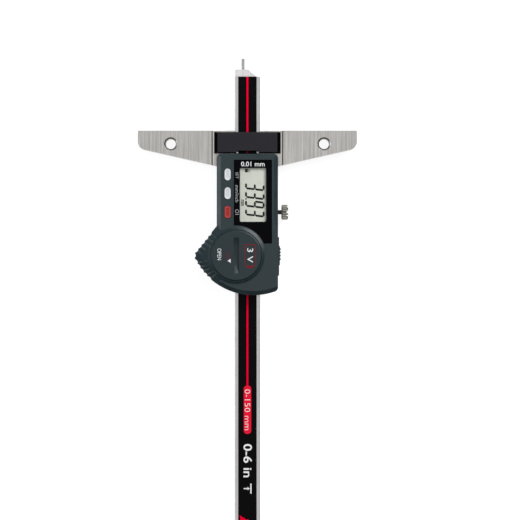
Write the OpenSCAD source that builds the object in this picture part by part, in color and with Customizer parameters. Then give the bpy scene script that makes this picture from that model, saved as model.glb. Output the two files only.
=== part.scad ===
// Digital depth caliper, lying on its back.
// A beam with a measuring pin slides through a cross bridge and a steel slider,
// and an electronic unit on the slider shows how far the pin stands out of the bridge.
// X runs along the bridge, Y along the beam towards the pin, Z out of the display.
// The origin is where the beam's centreline crosses the datum face, on the plane of the back.
// Sizes are in millimetres.

/* [Bridge] */
// Length of the bridge
bridge_length = 100; // [90:5:150]
// Thickness of the bridge, back to front
bridge_thickness = 8; // [7.8:0.1:8.6]
// Height of the bridge at its ends
bridge_end_height = 8; // [7.8:0.1:9]
// Height of the bridge behind the display unit
bridge_mid_height = 16.2; // [16:0.1:16.4]
// Distance between the two mounting holes
hole_spacing = 70; // [60:5:80]
// Diameter of the mounting holes
hole_diameter = 4.6; // [4:0.1:5]

/* [Beam] */
// Width of the beam
beam_width = 11.5; // [11.3:0.1:11.6]
// Longest depth that the caliper measures
measuring_range = 150; // [100:10:300]
// Depth that the beam stands at
reading = 33.2; // [10:0.1:90]
// Diameter of the measuring pin
pin_diameter = 1.5; // [1.2:0.1:1.8]
// Length of the measuring pin outside the beam
pin_length = 5.1; // [4:0.1:7]

/* [Display unit] */
// Width of the display unit
unit_width = 27.9; // [27.8:0.1:28.4]
// Radius of the round foot of the display unit
foot_radius = 29.7; // [29.5:0.1:29.9]
// Width and length of the visible part of the LCD
lcd_view = [12.1, 24.7]; // [11:0.1:25]
// How far a button stands out of the front
button_height = 0.5; // [0.5:0.1:0.8]

/* [Lock screw] */
// Diameter of the knurled head
knob_diameter = 6.9; // [6:0.1:7.2]
// Number of flutes round the knurled head
knob_flutes = 14; // [12:1:18]

/* [Hidden] */
$fn = 64;
eps = 0.01;
reach = 200;

// Heights above the back, from the slider's floor to the top of the battery cover.
floor_top = 2.1;
beam_back = 2.2;
beam_thickness = 3.5;
beam_front = beam_back + beam_thickness;
beam_mid = beam_back + beam_thickness / 2;
deck = 7.2;
base_floor_top = 8.2;
split = 9.8;
roof_bottom = 12.6;
face = 13.8;
collar_top = 14.5;
cover_top = 14.8;

// Slider and gib, seen from the front. The gib fills the wider gap on the right of the beam.
slider_half = 11.5;
slider_top = -16.3;
slider_end = -70.8;
rail_left = -5.85;
rail_right = 6.8;
tongue_top = -4;
gib_inner = 5.8;
gib_outer = 6.75;

// Beam, from its pin end to its tail.
beam_half = beam_width / 2;
slot_half = 5.95;
beam_tip = reading - pin_length;
stop_top = slider_end - (measuring_range - reading) - 0.13;
stop_length = 9;
beam_tail = stop_top - stop_length - 4;
strip_half = 4.2;
groove_half = strip_half + 0.02;
groove_floor = beam_front - 0.5;
strip_top = beam_tip - 3.3;
pin_x = -2.05;

// Display unit, seen from the front.
unit_half = unit_width / 2;
unit_top = -10.85;
corner_radius = 2;
foot_centre = [2.8, -45.4];
foot_corner_radius = 2.2;
bevel = [1.9, 1.5];
wall = 1.4;
fin_tip = [-23.95, -55.9];
fin_root = [-13.7, -43.35];
fin_bottom = 2.6;
fin_slope = 0.36;
lcd_centre = [2.45, -29.65];
window_low = [-6.1, -51.6];
window_high = [11.15, -13.6];
window_back = 12.95;
button_x = -8.93;
button_y = [-20.3, -28.8, -37.35];
button_size = [2.75, 5.3];
power_corner = 0.9;

// Battery and its cover.
battery_centre = [-5, -57];
battery_radius = 10;
battery_bottom = 8.6;
battery_height = 3.2;
well_radius = 10.95;
cover_radius = 11.65;
collar_inner = 11.75;
collar_outer = 13.5;
collar_foot = 13.2;
collar_rim = 11.95;
seal_shelf = 12;
flange_bottom = 12.9;

// Screws.
lock_y = -37.2;
knob_inner = 15.5;
knob_outer = 18.7;
shoe_tip = 5.96;
shoe_end = 8;
m2 = 0.98;
m2_bore = 1.05;
m25 = 1.25;
m25_bore = 1.3;
bridge_screws_at = [[-8.5, -9.5], [8.5, -9.5]];
unit_screws_at = [for (x = [-9.2, 9.2], y = [-19.5, -67.3]) [x, y]];
gib_screws_y = [-27.5, -60];
peg_x = 11.5;
peg_y = -5.6;

// ---------- shared shapes ----------

// A box between two opposite corners.
module block(low, high) {
    translate(low) cube(high - low);
}

// A slot with round ends, upright, centred on the origin.
module obround(size) {
    square([size.x, size.y - size.x], center = true);
    for (side = [-1, 1])
        translate([0, side * (size.y - size.x) / 2]) circle(d = size.x);
}

// A rectangle with round corners, centred on the origin.
module round_corners(size, r) {
    square([size.x - 2 * r, size.y], center = true);
    square([size.x, size.y - 2 * r], center = true);
    for (x = [-1, 1], y = [-1, 1])
        translate([x * (size.x / 2 - r), y * (size.y / 2 - r)]) circle(r = r);
}

// A screw that enters from the back, with a countersunk head and a slot.
module back_screw(radius, head_radius, head_height, tip) {
    difference() {
        union() {
            cylinder(h = tip, r = radius);
            cylinder(h = head_height, r1 = head_radius, r2 = radius);
        }
        block([-head_radius, -0.3, -eps], [head_radius, 0.3, 0.5]);
    }
}

// The hole for such a screw.
module back_screw_hole(radius, head_radius, head_height, tip) {
    translate([0, 0, -eps]) cylinder(h = tip + eps, r = radius);
    translate([0, 0, -eps]) cylinder(h = head_height + 0.1, r1 = head_radius + 0.1, r2 = radius);
}

// What lies outside a round corner, between two directions from its centre.
// The circle is a hair too large, so that it crosses the two edges and doesn't just touch them.
module corner_waste(radius, from, to) {
    difference() {
        polygon(3 * radius * [[0, 0], from, from + to, to]);
        circle(r = radius * 1.004);
    }
}

// A cylinder along X between two places.
module x_rod(from, to, radius) {
    translate([from, 0, 0]) rotate([0, 90, 0]) cylinder(h = to - from, r = radius);
}

// ---------- bridge ----------

corner = 3.6;
taper_start = 14;
taper_angle = atan((bridge_mid_height - bridge_end_height) / (bridge_length / 2 - taper_start));
corner_x = bridge_length / 2 - corner;
corner_y = -bridge_end_height - corner * tan(taper_angle) + corner / cos(taper_angle);

module half_bridge_plan() {
    difference() {
        polygon([
            [0, 0], [bridge_length / 2, 0], [bridge_length / 2, -bridge_end_height],
            [taper_start, -bridge_mid_height], [0, -bridge_mid_height]
        ]);
        translate([corner_x, corner_y])
            corner_waste(corner, [1, 0], [sin(taper_angle), -cos(taper_angle)]);
    }
}

module mounting_hole() {
    chamfer = 0.75;
    radius = hole_diameter / 2;
    translate([0, 0, -eps]) cylinder(h = bridge_thickness + 2 * eps, r = radius);
    translate([0, 0, bridge_thickness - chamfer])
        cylinder(h = chamfer + eps, r1 = radius, r2 = radius + chamfer + eps);
    translate([0, 0, -eps]) cylinder(h = chamfer + eps, r1 = radius + chamfer + eps, r2 = radius);
}

module bridge() {
    seat_half = 16.35;
    peg_hole_bottom = 5;
    color([0.72, 0.71, 0.69]) difference() {
        linear_extrude(bridge_thickness) union() {
            half_bridge_plan();
            mirror([1, 0]) half_bridge_plan();
        }
        block([-seat_half, -reach, deck], [seat_half, reach, reach]);
        block([-slot_half, -reach, floor_top], [slot_half, reach, reach]);
        block([-slider_half - 0.1, -reach, -eps], [slider_half + 0.1, tongue_top + 0.1, floor_top + 0.05]);
        for (side = [-1, 1]) {
            translate([side * hole_spacing / 2, -6.1, 0]) mounting_hole();
            translate([side * peg_x, peg_y, peg_hole_bottom]) cylinder(h = reach, r = m2_bore);
        }
        for (p = bridge_screws_at) translate(p) cylinder(h = 6.3, r = m25_bore);
    }
}

// Black cap over the middle of the bridge. Two pegs hold it, and a notch clears the beam.
module bridge_cover() {
    low = [-15.15, -10.45];
    high = [15.15, -0.75];
    top = 10.4;
    side_bevel = 1.5;
    end_bevel = 0.5;
    notch = [5.15, -9.3];
    color([0.17, 0.17, 0.19]) difference() {
        union() {
            intersection() {
                translate([0, high.y, 0]) rotate([90, 0, 0]) linear_extrude(high.y - low.y)
                    polygon([
                        [low.x, deck], [low.x, top - side_bevel], [low.x + side_bevel, top],
                        [high.x - side_bevel, top], [high.x, top - side_bevel], [high.x, deck]
                    ]);
                translate([low.x, 0, 0]) rotate([90, 0, 90]) linear_extrude(high.x - low.x)
                    polygon([
                        [low.y, deck], [low.y, top - end_bevel], [low.y + end_bevel, top],
                        [high.y - end_bevel, top], [high.y, top - end_bevel], [high.y, deck]
                    ]);
            }
            for (side = [-1, 1]) translate([side * peg_x, peg_y, 5.2]) cylinder(h = 3, r = 1);
        }
        block([-notch.x, -reach, -eps], [notch.x, notch.y, reach]);
        block([-9.5, notch.y + 1, -eps], [9.5, high.y - 1, top - 1.2]);
    }
}

module bridge_screws() {
    color("silver") for (p = bridge_screws_at) translate(p) back_screw(m25, 2.2, 1, 6.1);
}

// ---------- slider ----------

module slider_frame() {
    color([0.62, 0.62, 0.63]) difference() {
        union() {
            block([-slider_half, slider_end, 0], [slider_half, tongue_top, floor_top]);
            block([-slider_half, slider_end, 0], [rail_left, slider_top, deck]);
            block([rail_right, slider_end, 0], [slider_half, slider_top, deck]);
        }
        for (p = unit_screws_at) translate(p) back_screw_hole(m2_bore, 1.9, 0.9, reach);
        for (p = bridge_screws_at) translate(p) back_screw_hole(m25_bore, 2.2, 1, reach);
        for (y = concat(gib_screws_y, lock_y))
            translate([0, y, beam_mid]) x_rod(rail_right - 1, slider_half + 1, m2_bore);
    }
}

// Thin strip that takes up the play beside the beam. The lock's shoe passes through it.
module gib_strip() {
    color([0.72, 0.55, 0.3]) difference() {
        block([gib_inner, slider_end + 0.8, 2.4], [gib_outer, slider_top - 0.7, deck - 0.2]);
        translate([0, lock_y, beam_mid]) x_rod(gib_inner - 1, gib_outer + 1, m2_bore);
    }
}

module gib_screws() {
    outer = 10.9;
    color("silver") for (y = gib_screws_y) translate([0, y, beam_mid]) difference() {
        x_rod(gib_outer + 0.02, outer, m2);
        block([outer - 0.5, -2, -0.15], [outer + 1, 2, 0.15]);
    }
}

// Rubber bar that keeps dirt out of the channel above the beam's front face.
module wiper(low_y) {
    color([0.1, 0.1, 0.1])
        block([-5.75, low_y, beam_front + 0.05], [5.7, low_y + 1.8, deck - 0.05]);
}

module wiper_upper() { wiper(-15); }
module wiper_lower() { wiper(-70.6); }

// Brass shoe that the lock screw presses against the edge of the beam.
module lock_shoe() {
    color([0.8, 0.62, 0.3]) translate([0, lock_y, beam_mid]) x_rod(shoe_tip, shoe_end, m2);
}

module lock_screw() {
    rim = 0.6;
    radius = knob_diameter / 2;
    flute_radius = 0.5;
    slot_half_width = 0.4;
    color([0.66, 0.65, 0.62]) translate([0, lock_y, beam_mid]) difference() {
        union() {
            x_rod(shoe_end, knob_inner + 1, m2);
            x_rod(knob_inner + rim, knob_outer - rim, radius);
            translate([knob_inner, 0, 0]) rotate([0, 90, 0])
                cylinder(h = rim, r1 = radius - rim, r2 = radius);
            translate([knob_outer - rim, 0, 0]) rotate([0, 90, 0])
                cylinder(h = rim, r1 = radius, r2 = radius - rim);
        }
        for (i = [0 : knob_flutes - 1]) rotate([i * 360 / knob_flutes, 0, 0])
            translate([0, 0, radius + flute_radius / 4]) x_rod(knob_inner - 1, knob_outer + 1, flute_radius);
        block([knob_outer - 0.8, -slot_half_width, -reach], [reach, slot_half_width, reach]);
    }
}

// ---------- display unit: outlines ----------

// The upright part of the unit, drawn in by inset on every side.
module unit_plan(inset = 0) {
    half = unit_half - inset;
    top = unit_top - inset;
    r = corner_radius - inset;
    fillet = foot_corner_radius;
    foot = foot_radius - inset;
    fillet_x = half - fillet;
    fillet_y = foot_centre.y - sqrt(pow(foot - fillet, 2) - pow(fillet_x - foot_centre.x, 2));
    outward = [fillet_x - foot_centre.x, fillet_y - foot_centre.y] / (foot - fillet);
    difference() {
        intersection() {
            union() {
                translate([-half, -reach]) square([2 * half, reach + top - r]);
                translate([-half + r, top - r - 1]) square([2 * (half - r), r + 1]);
                for (side = [-1, 1]) translate([side * (half - r), top - r]) circle(r = r);
            }
            union() {
                translate(foot_centre) circle(r = foot, $fn = 128);
                translate([-reach / 2, foot_centre.y]) square([reach, reach]);
            }
        }
        translate([fillet_x, fillet_y]) corner_waste(fillet, [1, 0], outward);
    }
}

// One scallop at the fin's tip, and one per rib gap along its two edges.
rib_pitch = 2.4;
scallop = 1.7;
scallop_out = 1.25;
ribs = 5;

module fin_plan() {
    along = (fin_root - fin_tip) / norm(fin_root - fin_tip);
    out = [-along.y, along.x];
    tip_angle = 204.3;
    angle_pitch = rib_pitch / foot_radius * 180 / PI;
    difference() {
        intersection() {
            polygon([
                fin_root, fin_tip, fin_tip - [0, 4], [fin_tip.x, -90], [0, -90], [0, fin_root.y]
            ]);
            translate(foot_centre) circle(r = foot_radius, $fn = 128);
        }
        translate(fin_tip - [scallop_out, 1.1]) circle(r = scallop, $fn = 32);
        for (i = [0 : ribs - 1]) {
            translate(fin_tip + along * (i + 0.6) * rib_pitch + out * scallop_out)
                circle(r = scallop, $fn = 32);
            translate(foot_centre) rotate(tip_angle + (i + 1) * angle_pitch)
                translate([foot_radius + scallop_out, 0]) circle(r = scallop, $fn = 32);
        }
    }
}

// Finger pad on the right edge: a low step, a higher one on it, and small pointed ridges.
pad_inner = 10;
pad_low = -66.2;
pad_high = -48.7;
pad_step = 14.45;
grip_low = -61.5;
grip_high = -52.7;
grip_step = 14.8;
ridge_tip = 15.3;
ridge_pitch = 1.52;
ridge_y = [for (i = [0 : 3]) -54.1 - i * ridge_pitch];

module pad_plan() {
    base = ridge_pitch / 2;
    translate([pad_inner, pad_low]) square([pad_step - pad_inner, pad_high - pad_low]);
    translate([pad_inner, grip_low]) square([grip_step - pad_inner, grip_high - grip_low]);
    for (y = ridge_y)
        polygon([
            [pad_inner, y - base], [grip_step, y - base], [ridge_tip, y], [grip_step, y + base],
            [pad_inner, y + base]
        ]);
}

// The whole height of the unit with its bevelled edges, before the bottom is cut off.
module unit_envelope() {
    difference() {
        intersection() {
            linear_extrude(face) unit_plan();
            rotate([90, 0, 0]) translate([0, 0, -unit_top]) linear_extrude(reach) polygon([
                [-unit_half, 0], [-unit_half, face - bevel.y], [-unit_half + bevel.x, face],
                [unit_half, face], [unit_half, 0]
            ]);
            translate([-reach / 2, 0, 0]) rotate([90, 0, 90]) linear_extrude(reach) polygon([
                [-reach, 0], [-reach, face], [unit_top - bevel.y, face],
                [unit_top, face - bevel.y * 0.8], [unit_top, 0]
            ]);
            foot_bevel(face);
        }
        right_bevel();
    }
}

// What the right bevel takes away: a straight stretch, which then runs out to nothing.
module right_bevel() {
    fade_from = -39.4;
    fade_to = -46.3;
    section = [[-bevel.x, 0], [1, bevel.y / bevel.x], [1, -bevel.y * (1 + 1 / bevel.x)], [0, -bevel.y]];
    translate([unit_half, 0, face]) {
        rotate([90, 0, 0]) linear_extrude(-fade_from) polygon(section);
        hull() {
            translate([0, fade_from, 0]) rotate([90, 0, 0]) linear_extrude(eps) polygon(section);
            translate([0, fade_to, 0]) cube([1, eps, eps]);
        }
    }
}

// Everything inside the round foot, bevelled along its rim up to the given top.
module foot_bevel(top) {
    translate([foot_centre.x, foot_centre.y, top - bevel.y])
        cylinder(h = bevel.y, r1 = foot_radius, r2 = foot_radius - bevel.x, $fn = 128);
    translate([foot_centre.x, foot_centre.y, 0])
        cylinder(h = top - bevel.y + eps, r = foot_radius, $fn = 128);
    block([-reach / 2, foot_centre.y, 0], [reach / 2, reach, top]);
}

// The thumb fin, which slopes down and away from the battery cover.
module fin_envelope() {
    intersection() {
        linear_extrude(face) fin_plan();
        translate([battery_centre.x, battery_centre.y, split])
            cylinder(h = face - split, r1 = collar_foot + (face - split) / fin_slope, r2 = collar_foot);
    }
}

// ---------- display unit: shells ----------

// The parts of the base that reach down beside the slider.
module base_skirts() {
    difference() {
        union() {
            translate([0, 0, fin_bottom]) linear_extrude(deck - fin_bottom + eps) fin_plan();
            translate([0, 0, fin_bottom + 1.4]) linear_extrude(split - fin_bottom - 1.4) pad_plan();
        }
        block([-slider_half - 0.1, -reach, -eps], [slider_half + 0.1, reach, deck]);
    }
}

module housing_base() {
    boss_top = 8.5;
    post_top = 9.15;
    color([0.21, 0.24, 0.25]) difference() {
        union() {
            translate([0, 0, deck]) linear_extrude(split - deck) {
                unit_plan();
                fin_plan();
            }
            base_skirts();
            block([-5.2, -44, 6.67], [5.2, -18, deck + eps]);
        }
        difference() {
            translate([0, 0, base_floor_top]) linear_extrude(reach) unit_plan(wall);
            for (p = unit_screws_at) translate(p) cylinder(h = boss_top, r = 1.9);
            for (x = [-10.8, 10.8], y = [-15, -41.5]) translate([x, y]) cylinder(h = post_top, r = 1.1);
        }
        translate([battery_centre.x, battery_centre.y, base_floor_top])
            cylinder(h = reach, r = battery_radius + 0.2);
        for (p = unit_screws_at) translate([p.x, p.y, -eps]) cylinder(h = boss_top - 0.15, r = m2_bore);
    }
}

module housing_front() {
    color([0.22, 0.25, 0.26]) difference() {
        union() {
            difference() {
                union() {
                    unit_envelope();
                    fin_envelope();
                    linear_extrude(face - bevel.y) pad_plan();
                }
                block([-reach, -reach, -eps], [reach, reach, split]);
                linear_extrude(roof_bottom) unit_plan(wall);
            }
            translate([battery_centre.x, battery_centre.y, split])
                cylinder(h = roof_bottom - split, r = well_radius + 1.25);
            translate([battery_centre.x, battery_centre.y, roof_bottom])
                cylinder(h = face - roof_bottom, r = collar_outer);
            translate([battery_centre.x, battery_centre.y, face - eps])
                cylinder(h = collar_top - face + eps, r1 = collar_foot, r2 = collar_rim);
        }
        translate([battery_centre.x, battery_centre.y, 0]) {
            cylinder(h = reach, r = well_radius);
            translate([0, 0, seal_shelf]) cylinder(h = reach, r = collar_inner);
        }
        translate([0, 0, window_back]) linear_extrude(reach) window_plan(0.05);
        translate([lcd_centre.x, lcd_centre.y, face])
            cube([lcd_view.x + 0.6, lcd_view.y + 0.6, reach], center = true);
        for (i = [0 : 2]) translate([button_x, button_y[i], 0]) linear_extrude(reach)
            button_plan(i, 0.1);
    }
}

module housing_screws() {
    color("silver") for (p = unit_screws_at) translate(p) back_screw(m2, 1.9, 0.9, 8.2);
}

// ---------- display unit: front ----------

module window_plan(gap = 0) {
    difference() {
        translate(window_low - [gap, gap]) square(window_high - window_low + [2 * gap, 2 * gap]);
        translate(battery_centre) circle(r = collar_outer + 0.1 - gap, $fn = 128);
    }
}

module display_window() {
    color([0.03, 0.03, 0.04]) translate([0, 0, window_back])
        linear_extrude(face - window_back + 0.02) window_plan();
}

module lcd_panel() {
    margin = 1.1;
    color([0.77, 0.8, 0.73]) translate([lcd_centre.x, lcd_centre.y, 10.85]) linear_extrude(1.7)
        square(lcd_view + 2 * [margin, margin], center = true);
}

// Striped rubber strips that join the LCD to the board.
module lcd_connectors() {
    color([0.75, 0.45, 0.5]) for (side = [-1, 1])
        translate([lcd_centre.x + side * 5.9, lcd_centre.y, 10.43]) cube([1.3, 25, 0.8], center = true);
}

// Outline of a button, grown by gap: the power button's corners are less round.
module button_plan(i, gap = 0) {
    size = button_size + 2 * [gap, gap];
    if (i == 2) round_corners(size, power_corner + gap);
    else obround(size);
}

module button(i) {
    flange_height = 0.55;
    stem_bottom = 10.95;
    flange_bottom_z = 12;
    translate([button_x, button_y[i], 0]) {
        translate([0, 0, flange_bottom_z]) linear_extrude(face + button_height - flange_bottom_z)
            button_plan(i);
        translate([0, 0, flange_bottom_z]) linear_extrude(flange_height)
            button_plan(i, 0.5);
        translate([0, 0, stem_bottom]) cylinder(h = flange_bottom_z - stem_bottom + eps, r = 0.8);
    }
}

module preset_button() { color([0.88, 0.88, 0.9]) button(0); }
module unit_button() { color([0.88, 0.88, 0.9]) button(1); }
module power_button() { color([0.72, 0.16, 0.14]) button(2); }

// ---------- display unit: inside ----------

board_bottom = 9.2;
board_top = 10;

module circuit_board() {
    color([0.1, 0.35, 0.2]) difference() {
        block([-12.2, -43.3, board_bottom], [12.2, -12.6, board_top]);
        for (side = [-1, 1]) translate([side * 11.4, -28, 0]) cylinder(h = reach, r = 0.5);
    }
}

// Driver chip, crystal and three capacitors under the board.
module board_components() {
    color([0.08, 0.08, 0.09]) {
        block([-2, -32, 8.35], [5, -25, board_bottom]);
        block([-8, -25, 8.4], [-5, -23.6, board_bottom]);
        for (i = [0 : 2]) block([-8, -30 - 2 * i, 8.6], [-6.4, -29 - 2 * i, board_bottom]);
    }
}

module dome_switches() {
    color("silver") for (y = button_y) translate([button_x, y, board_top])
        cylinder(h = 0.35, r1 = 1.8, r2 = 1.2);
}

// Board under the unit that reads the scale on the beam.
module sensor_board() {
    color([0.12, 0.3, 0.18]) block([-5, -43.8, beam_front + 0.15], [5, -18.2, 6.65]);
}

module battery() {
    rim = 0.4;
    color([0.75, 0.75, 0.77]) translate([battery_centre.x, battery_centre.y, battery_bottom]) {
        cylinder(h = rim, r = battery_radius - 1.2);
        translate([0, 0, rim]) cylinder(h = battery_height - rim, r = battery_radius);
    }
}

// A leaf under the battery and a clip beside it.
module battery_contacts() {
    c = battery_centre;
    floor = base_floor_top;
    color([0.8, 0.7, 0.4]) {
        block([c.x - 5, c.y - 1.5, floor + 0.02], [c.x + 5, c.y + 1.5, floor + 0.3]);
        block([c.x + 10.02, c.y - 1, floor + 0.5], [c.x + 10.17, c.y + 1, floor + 2.8]);
    }
}

module cover_seal() {
    middle = (seal_shelf + flange_bottom) / 2;
    color([0.08, 0.08, 0.08]) translate([battery_centre.x, battery_centre.y, middle])
        rotate_extrude() translate([11.3, 0]) circle(r = 0.42, $fn = 32);
}

// Round cover with a coin slot. Its skirt goes down round the battery.
module battery_cover() {
    skirt = [10.15, 10.85];
    edge = [11.1, 14.55];
    slot = [2.4, 15.6];
    slot_depth = 1.2;
    ceiling = 12.2;
    skirt_bottom = 11.2;
    color([0.2, 0.23, 0.24]) translate([battery_centre.x, battery_centre.y, 0]) difference() {
        rotate_extrude($fn = 96) polygon([
            [0, ceiling], [skirt[0], ceiling], [skirt[0], skirt_bottom], [skirt[1], skirt_bottom],
            [skirt[1], flange_bottom], [cover_radius, flange_bottom], [cover_radius, edge[1]],
            [edge[0], cover_top], [0, cover_top]
        ]);
        translate([0, 0, cover_top - slot_depth]) linear_extrude(reach) obround(slot);
    }
}

// ---------- beam ----------

module beam() {
    shoulder = beam_tip - 3.4;
    edge = 0.3;
    color([0.72, 0.71, 0.72]) difference() {
        intersection() {
            translate([0, 0, beam_back]) linear_extrude(beam_thickness) polygon([
                [-beam_half, beam_tail], [-beam_half, beam_tip], [0.4, beam_tip],
                [4.1, beam_tip - 3.2], [beam_half, shoulder], [beam_half, beam_tail]
            ]);
            translate([0, beam_tip + 1, 0]) rotate([90, 0, 0]) linear_extrude(beam_tip - beam_tail + 2)
                polygon([
                    [-beam_half, beam_back], [-beam_half, beam_front - edge],
                    [-beam_half + edge, beam_front], [beam_half - edge, beam_front],
                    [beam_half, beam_front - edge], [beam_half, beam_back]
                ]);
        }
        block([-groove_half, beam_tail - 1, groove_floor], [groove_half, strip_top, reach]);
        translate([pin_x, beam_tip + eps, beam_mid]) rotate([90, 0, 0]) cylinder(h = 7.5, r = 1.02);
        for (y = stop_screws_y) translate([0, y, beam_back - eps]) cylinder(h = 2.4, r = 0.85);
    }
}

module scale_strip() {
    color([0.06, 0.06, 0.07])
        block([-strip_half, beam_tail + 0.5, groove_floor], [strip_half, strip_top - 0.02, beam_front]);
}

module measuring_pin() {
    tip_chamfer = 0.15;
    radius = pin_diameter / 2;
    color([0.5, 0.5, 0.5]) translate([pin_x, beam_tip, beam_mid]) rotate([-90, 0, 0]) {
        translate([0, 0, -7.3]) cylinder(h = 7.3, r = 1);
        cylinder(h = pin_length - tip_chamfer, r = radius);
        translate([0, 0, pin_length - tip_chamfer])
            cylinder(h = tip_chamfer, r1 = radius, r2 = radius - tip_chamfer);
    }
}

// Plate on the back of the tail, which stops the beam from leaving the slider.
stop_back = 1;
stop_screws_y = [stop_top - 2.3, stop_top - 6.7];

module end_stop() {
    color([0.62, 0.62, 0.63]) difference() {
        block([-4.6, stop_top - stop_length, stop_back], [4.6, stop_top, beam_back]);
        for (y = stop_screws_y) translate([0, y, stop_back]) back_screw_hole(0.85, 1.45, 0.6, 3);
    }
}

module end_stop_screws() {
    color("silver") for (y = stop_screws_y)
        translate([0, y, stop_back]) back_screw(0.8, 1.45, 0.6, 3.4);
}

// ---------- what is drawn ----------

bridge();
bridge_cover();
bridge_screws();
slider_frame();
gib_strip();
gib_screws();
wiper_upper();
wiper_lower();
housing_base();
housing_front();
housing_screws();
display_window();
lcd_panel();
lcd_connectors();
circuit_board();
board_components();
dome_switches();
sensor_board();
battery();
battery_contacts();
cover_seal();
battery_cover();
preset_button();
unit_button();
power_button();
beam();
scale_strip();
measuring_pin();
end_stop();
end_stop_screws();
lock_shoe();
lock_screw();
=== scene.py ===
"""Looks of the digital depth caliper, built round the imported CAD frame.

The tool lies on its back. X runs along the bridge, Y along the beam towards the pin, and Z out of
the display. Lengths are in metres; MM turns a length in millimetres into one.
"""

import math

import bmesh
import bpy
from mathutils import Matrix, Vector


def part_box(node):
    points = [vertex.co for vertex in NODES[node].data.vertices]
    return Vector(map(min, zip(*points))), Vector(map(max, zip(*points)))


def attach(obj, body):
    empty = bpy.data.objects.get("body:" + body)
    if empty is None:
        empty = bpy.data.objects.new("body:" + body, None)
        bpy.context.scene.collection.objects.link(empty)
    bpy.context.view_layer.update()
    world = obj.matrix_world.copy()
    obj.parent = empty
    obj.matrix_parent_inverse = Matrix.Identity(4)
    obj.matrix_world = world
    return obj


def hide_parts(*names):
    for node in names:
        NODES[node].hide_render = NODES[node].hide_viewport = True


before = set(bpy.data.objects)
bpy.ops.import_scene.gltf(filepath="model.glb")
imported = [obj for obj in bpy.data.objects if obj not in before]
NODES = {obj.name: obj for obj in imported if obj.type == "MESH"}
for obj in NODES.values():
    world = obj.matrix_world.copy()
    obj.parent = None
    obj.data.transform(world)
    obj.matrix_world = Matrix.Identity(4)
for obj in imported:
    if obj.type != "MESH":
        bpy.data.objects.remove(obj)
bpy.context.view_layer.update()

MM = 0.001


# ---------- materials: helpers ----------

def add(tree, kind, inputs=None, **settings):
    """A shader node. An input is given a value, or a socket to be linked to."""
    made = tree.nodes.new(kind)
    for name, value in settings.items():
        setattr(made, name, value)
    for name, value in (inputs or {}).items():
        if isinstance(value, bpy.types.NodeSocket):
            tree.links.new(value, made.inputs[name])
        else:
            made.inputs[name].default_value = value
    return made


def new_material(name):
    made = bpy.data.materials.new(name)
    made.use_nodes = True
    return made, made.node_tree, made.node_tree.nodes["Principled BSDF"]


def connect(tree, socket, shader, name):
    tree.links.new(socket, shader.inputs[name])


def object_place(tree):
    """The socket with a point's place in the piece's own frame, in metres."""
    return add(tree, "ShaderNodeTexCoord").outputs["Object"]


def in_cycles(tree, scale):
    """A point's place, in cycles. scale is (x, y, z) per millimetre, or a socket with them per metre."""
    per_metre = scale if isinstance(scale, bpy.types.NodeSocket) else [s / MM for s in scale]
    scaled = add(tree, "ShaderNodeVectorMath", {0: object_place(tree), 1: per_metre}, operation="MULTIPLY")
    return scaled.outputs[0]


def noise(tree, scale, detail=2.0, roughness=0.5):
    """Noise over the piece, with the scale that in_cycles takes."""
    made = add(tree, "ShaderNodeTexNoise", {
        "Vector": in_cycles(tree, scale), "Scale": 1.0, "Detail": detail, "Roughness": roughness})
    return made.outputs["Fac"]


def ground_scale(tree, lines, ends):
    """A noise scale for each face: ends on the faces that look along y, and lines on the rest."""
    along_y = 0.8
    normal = add(tree, "ShaderNodeTexCoord").outputs["Normal"]
    along = add(tree, "ShaderNodeSeparateXYZ", {"Vector": normal}).outputs["Y"]
    steep = add(tree, "ShaderNodeMath", {0: along}, operation="ABSOLUTE").outputs[0]
    is_end = add(tree, "ShaderNodeMath", {0: steep, 1: along_y}, operation="GREATER_THAN").outputs[0]
    made = add(tree, "ShaderNodeMix", {
        "Factor": is_end, 4: [s / MM for s in lines], 5: [s / MM for s in ends]}, data_type="VECTOR")
    return made.outputs[1]


def remap(tree, value, low, high, start=0.3, end=0.7):
    """Turns start into low and end into high. Noise mostly stays between 0.3 and 0.7."""
    made = add(tree, "ShaderNodeMapRange", {
        "Value": value, "From Min": start, "From Max": end, "To Min": low, "To Max": high})
    return made.outputs["Result"]


def about_one(tree, value, spread):
    """Noise turned into a factor of 1, more or less the spread."""
    return remap(tree, value, 1 - spread, 1 + spread)


def shade(tree, colour, factor):
    """The colour times a factor."""
    made = add(tree, "ShaderNodeVectorMath", {0: colour, "Scale": factor}, operation="SCALE")
    return made.outputs[0]


def multiply(tree, a, b):
    return add(tree, "ShaderNodeMath", {0: a, 1: b}, operation="MULTIPLY").outputs[0]


def bump(tree, shader, height, strength, depth):
    made = add(tree, "ShaderNodeBump", {"Height": height, "Strength": strength, "Distance": depth})
    connect(tree, made.outputs["Normal"], shader, "Normal")


# ---------- materials ----------

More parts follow.
